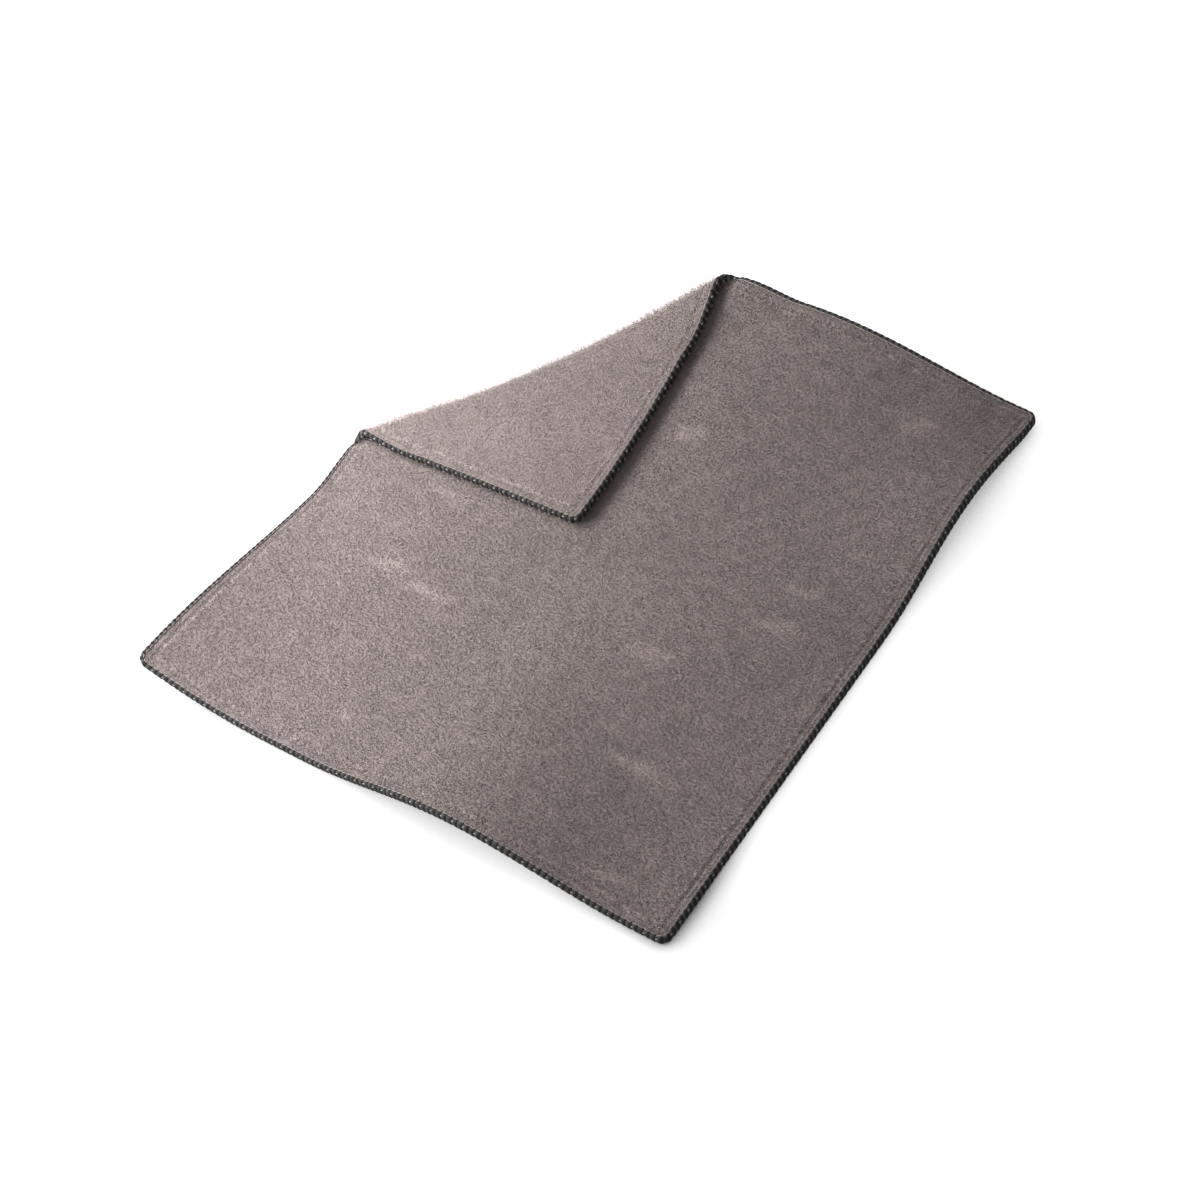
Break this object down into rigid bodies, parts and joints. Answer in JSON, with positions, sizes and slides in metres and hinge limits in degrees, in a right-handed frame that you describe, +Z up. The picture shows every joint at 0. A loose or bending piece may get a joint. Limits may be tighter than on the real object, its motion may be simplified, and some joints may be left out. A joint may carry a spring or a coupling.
{
  "type": "microfiber cloth",
  "caption": "Thick plush microfiber cleaning cloth, square with rounded corners and dark overlocked edges, lying in soft waves with a corner folded over.",
  "frame": {"origin": "on the surface the cloth lies on, below the middle of the square", "axes": "+X along the front edge, +Y towards the rear edge, +Z up; the folded corner is at -X +Y"},
  "size_m": [0.4051, 0.4051, 0.057],
  "materials": {
    "plush": "matte cut pile",
    "thread": "dark thread with a faint sheen"
  },
  "bodies": {
    "cloth": {"face_plush": "plush", "reverse_plush": "plush", "upper_looper": "thread", "lower_looper": "thread", "overlock_needle_thread": "thread", "border_needle_thread": "thread", "border_bobbin_thread": "thread", "roll_face_plush": "plush", "roll_reverse_plush": "plush", "left_roll_upper_looper": "thread", "left_roll_lower_looper": "thread", "left_roll_overlock_needle_thread": "thread", "left_roll_border_needle_thread": "thread", "left_roll_border_bobbin_thread": "thread", "rear_roll_upper_looper": "thread", "rear_roll_lower_looper": "thread", "rear_roll_overlock_needle_thread": "thread", "rear_roll_border_needle_thread": "thread", "rear_roll_border_bobbin_thread": "thread"},
    "folded_corner": {"corner_face_plush": "plush", "corner_reverse_plush": "plush", "corner_upper_looper": "thread", "corner_lower_looper": "thread", "corner_overlock_needle_thread": "thread", "corner_border_needle_thread": "thread", "corner_border_bobbin_thread": "thread"}
  },
  "joints": [
    {"name": "corner_fold", "type": "hinge", "parent": "cloth", "child": "folded_corner", "pos_m": [-0.10341, 0.10392, 0.02823], "axis": [-0.7029, -0.6993, -0.1304], "range_deg": [0, 195], "deforming": ["roll_face_plush", "roll_reverse_plush", "left_roll_upper_looper", "left_roll_lower_looper", "left_roll_overlock_needle_thread", "left_roll_border_needle_thread", "left_roll_border_bobbin_thread", "rear_roll_upper_looper", "rear_roll_lower_looper", "rear_roll_overlock_needle_thread", "rear_roll_border_needle_thread", "rear_roll_border_bobbin_thread"]}
  ]
}
